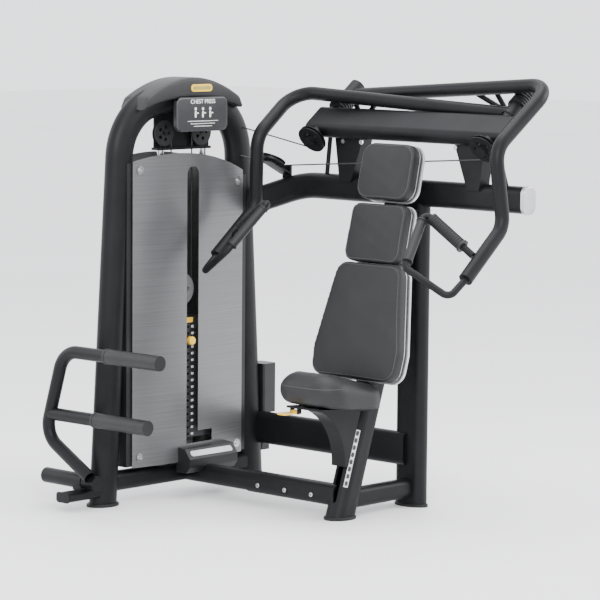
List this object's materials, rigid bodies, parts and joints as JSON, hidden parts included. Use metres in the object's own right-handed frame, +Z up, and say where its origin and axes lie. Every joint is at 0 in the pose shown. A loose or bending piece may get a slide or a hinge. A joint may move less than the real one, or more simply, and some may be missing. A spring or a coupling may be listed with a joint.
{
  "type": "chest press machine",
  "caption": "Seated incline chest press with a weight tower, two swinging press arms, an adjustable seat, a padded back rest and a foot lever.",
  "frame": {"origin": "on the floor under the centre of the bounding box", "axes": "+Z up; the user sits facing -Y; +X towards the user's left, so the weight tower is at -X"},
  "size_m": [1.525, 1.1264, 1.5012],
  "materials": {
    "frame_paint": "satin anthracite powder coat",
    "hood_plastic": "dark moulded hood",
    "panel_plastic": "dark satin instruction panel",
    "shield_metal": "brushed sheet",
    "bright_steel": "zinc plated",
    "dark_plastic": "fine grained black",
    "chrome_rod": "polished",
    "stack_steel": "black coated steel plates",
    "yellow_plastic": "moulded yellow",
    "black_rubber": "moulded rubber",
    "cable_sheath": "black sheathed wire rope",
    "silver_trim": "silver paint",
    "grip_rubber": "ribbed grip",
    "pad_cover": "grained upholstery with seams"
  },
  "bodies": {
    "frame": {"tower_arch": "frame_paint", "tower_hood": "hood_plastic", "instruction_panel": "panel_plastic", "front_shield": "shield_metal", "rear_shield": "shield_metal", "shield_screws": "bright_steel", "shield_liners": "dark_plastic", "guide_rods": "chrome_rod", "resting_plates": "stack_steel", "stack_bumpers": "black_rubber", "head_bracket": "frame_paint", "stack_cable": "cable_sheath", "tower_ground_beam": "frame_paint", "seat_ground_beam": "frame_paint", "ground_beam_bolts": "bright_steel", "rear_ground_beam": "frame_paint", "lower_beam": "frame_paint", "upper_beam": "frame_paint", "upper_beam_cap": "silver_trim", "rear_post": "frame_paint", "seat_post": "frame_paint", "feet": "black_rubber", "base_cover": "dark_plastic", "rear_box": "dark_plastic", "crossbar": "frame_paint", "bearing_housings": "frame_paint", "crossbar_brackets": "frame_paint", "arm_bumpers": "black_rubber", "transfer_cables": "cable_sheath", "lower_back_pad": "pad_cover", "middle_back_pad": "pad_cover", "head_pad": "pad_cover", "back_shells": "silver_trim", "back_carrier": "frame_paint", "seat_scale": "silver_trim", "pedal_pivot_tube": "frame_paint"},
    "stack": {"stack_top_plate": "stack_steel", "lifted_plates": "stack_steel", "selector_stem": "bright_steel"},
    "selector": {"selector_pin": "yellow_plastic"},
    "lift_wheel": {"lift_pulley": "silver_trim"},
    "front_wheel": {"top_front_pulley": "dark_plastic"},
    "rear_wheel": {"top_rear_pulley": "dark_plastic"},
    "corner_wheel": {"corner_pulley": "dark_plastic"},
    "right_arm": {"right_arm_tube": "frame_paint", "right_arm_hub": "frame_paint", "right_arm_drum": "dark_plastic", "right_handle_rod": "frame_paint", "right_grips": "grip_rubber"},
    "left_arm": {"left_arm_tube": "frame_paint", "left_arm_hub": "frame_paint", "left_arm_drum": "dark_plastic", "left_handle_rod": "frame_paint", "left_grips": "grip_rubber"},
    "seat": {"seat_pad": "pad_cover", "seat_bracket": "frame_paint"},
    "seat_release": {"seat_lever": "yellow_plastic"},
    "foot_lever": {"pedal_frame": "frame_paint", "pedal_grips": "grip_rubber"}
  },
  "joints": [
    {"name": "right_arm_pivot", "type": "hinge", "parent": "frame", "child": "right_arm", "pos_m": [0.5625, 0.373, 1.325], "axis": [0, 0.8, 0.6], "range_deg": [0, 35]},
    {"name": "left_arm_pivot", "type": "hinge", "parent": "frame", "child": "left_arm", "pos_m": [-0.2175, 0.373, 1.325], "axis": [0, 0.8, 0.6], "range_deg": [-35, 0]},
    {"name": "stack_lift", "type": "slide", "parent": "frame", "child": "stack", "axis": [0, 0, 1], "range_m": [0, 0.216], "deforming": ["stack_cable"]},
    {"name": "selector_pull", "type": "slide", "parent": "stack", "child": "selector", "axis": [1, 0, 0], "range_m": [0, 0.06]},
    {"name": "lift_wheel_spin", "type": "hinge", "parent": "stack", "child": "lift_wheel", "pos_m": [-0.5625, -0.007, 0.732], "axis": [1, 0, 0], "continuous": true},
    {"name": "front_wheel_spin", "type": "hinge", "parent": "frame", "child": "front_wheel", "pos_m": [-0.5625, -0.098, 1.286], "axis": [1, 0, 0], "range_deg": [0, 310]},
    {"name": "rear_wheel_spin", "type": "hinge", "parent": "frame", "child": "rear_wheel", "pos_m": [-0.5625, 0.086, 1.286], "axis": [1, 0, 0], "range_deg": [-295, 0]},
    {"name": "corner_wheel_spin", "type": "hinge", "parent": "frame", "child": "corner_wheel", "pos_m": [-0.4075, 0.288, 1.185], "axis": [0, 0.44, 0.898], "range_deg": [0, 36]},
    {"name": "seat_height", "type": "slide", "parent": "frame", "child": "seat", "axis": [0, 0.3146, 0.9492], "range_m": [-0.06, 0.01]},
    {"name": "seat_release_lift", "type": "hinge", "parent": "seat", "child": "seat_release", "pos_m": [0.1225, -0.136, 0.378], "axis": [1, 0, 0], "range_deg": [-12, 0]},
    {"name": "foot_lever_pivot", "type": "hinge", "parent": "frame", "child": "foot_lever", "pos_m": [-0.5725, -0.465, 0.096], "axis": [1, 0, 0], "range_deg": [0, 25]}
  ],
  "couplings": [
    {"joint": "left_arm_pivot", "follows": "right_arm_pivot", "ratio": -1},
    {"joint": "stack_lift", "follows": "right_arm_pivot", "m_per_rad": 0.35},
    {"joint": "front_wheel_spin", "follows": "right_arm_pivot", "ratio": 8.75},
    {"joint": "rear_wheel_spin", "follows": "right_arm_pivot", "ratio": -8.3333},
    {"joint": "corner_wheel_spin", "follows": "right_arm_pivot", "ratio": 1}
  ]
}
